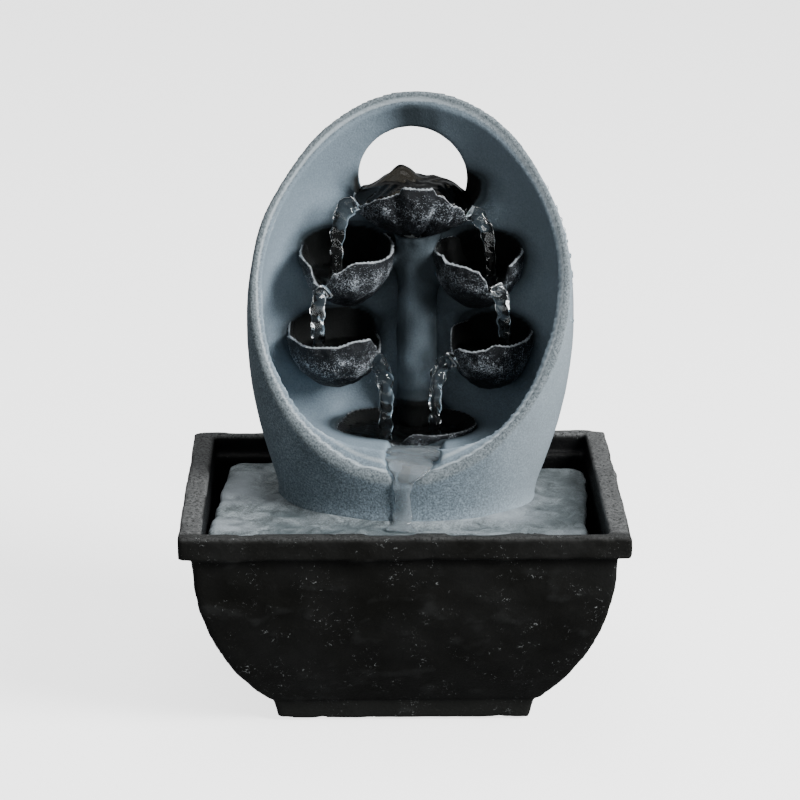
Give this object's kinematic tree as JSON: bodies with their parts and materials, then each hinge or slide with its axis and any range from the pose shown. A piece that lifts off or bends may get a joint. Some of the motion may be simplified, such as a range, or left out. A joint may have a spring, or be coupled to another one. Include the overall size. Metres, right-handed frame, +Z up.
{
  "type": "tabletop water fountain",
  "caption": "Tabletop water fountain: an oval open-faced stone shell with stepped wall bowls and a round window stands on a deck in a rectangular basin.",
  "frame": {"origin": "on the table, under the middle of the basin rim", "axes": "+Z up, +X to the viewer's right, +Y to the back; the open face looks along -Y"},
  "size_m": [0.2, 0.144, 0.2787],
  "materials": {
    "basin_resin": "satin, chipped slate",
    "shell_resin": "matte, sanded",
    "bowl_resin": "satin with dry-brushed silver",
    "pad_foam": "matte",
    "hose_vinyl": "clear",
    "pump_plastic": "fine grain",
    "core_steel": "laminated",
    "coil_wire": "enamelled",
    "rubber_black": "matte",
    "shaft_ceramic": "polished",
    "magnet_ferrite": "matte",
    "impeller_plastic": "plain",
    "foam_black": "open cell"
  },
  "bodies": {
    "basin": {"basin": "basin_resin", "foot_pad_front_left": "pad_foam", "foot_pad_front_right": "pad_foam", "foot_pad_back_left": "pad_foam", "foot_pad_back_right": "pad_foam", "pump_housing": "pump_plastic", "stator_core": "core_steel", "motor_coil": "coil_wire", "pump_back_plate": "pump_plastic", "cable_gland": "rubber_black", "pump_shaft": "shaft_ceramic", "shaft_bush_back": "rubber_black", "shaft_bush_front": "rubber_black", "volute_cover": "pump_plastic", "seal_ring": "rubber_black", "suction_cup_1": "rubber_black", "suction_cup_2": "rubber_black", "suction_cup_3": "rubber_black", "suction_cup_4": "rubber_black"},
    "sculpture": {"deck": "shell_resin", "shell": "shell_resin", "upper_left_bowl": "bowl_resin", "upper_right_bowl": "bowl_resin", "lower_left_bowl": "bowl_resin", "lower_right_bowl": "bowl_resin", "top_bowl": "bowl_resin", "pool_bowl": "bowl_resin", "hose": "hose_vinyl", "outlet_fitting": "pump_plastic"},
    "rotor": {"rotor_magnet": "magnet_ferrite", "impeller": "impeller_plastic"},
    "intake": {"intake_cover": "pump_plastic", "filter_foam": "foam_black"},
    "slider": {"flow_slider": "impeller_plastic"}
  },
  "joints": [
    {"name": "sculpture_lift", "type": "slide", "parent": "basin", "child": "sculpture", "axis": [0, 0, 1], "range_m": [0, 0.12]},
    {"name": "rotor_spin", "type": "hinge", "parent": "basin", "child": "rotor", "pos_m": [0.00428, 0.01966, 0.0355], "axis": [0.9945, -0.1045, 0], "continuous": true},
    {"name": "intake_pull", "type": "slide", "parent": "basin", "child": "intake", "axis": [-0.9945, 0.1045, 0], "range_m": [0, 0.018]},
    {"name": "flow_slide", "type": "slide", "parent": "intake", "child": "slider", "axis": [0.1045, 0.9945, 0], "range_m": [0, 0.008]}
  ]
}
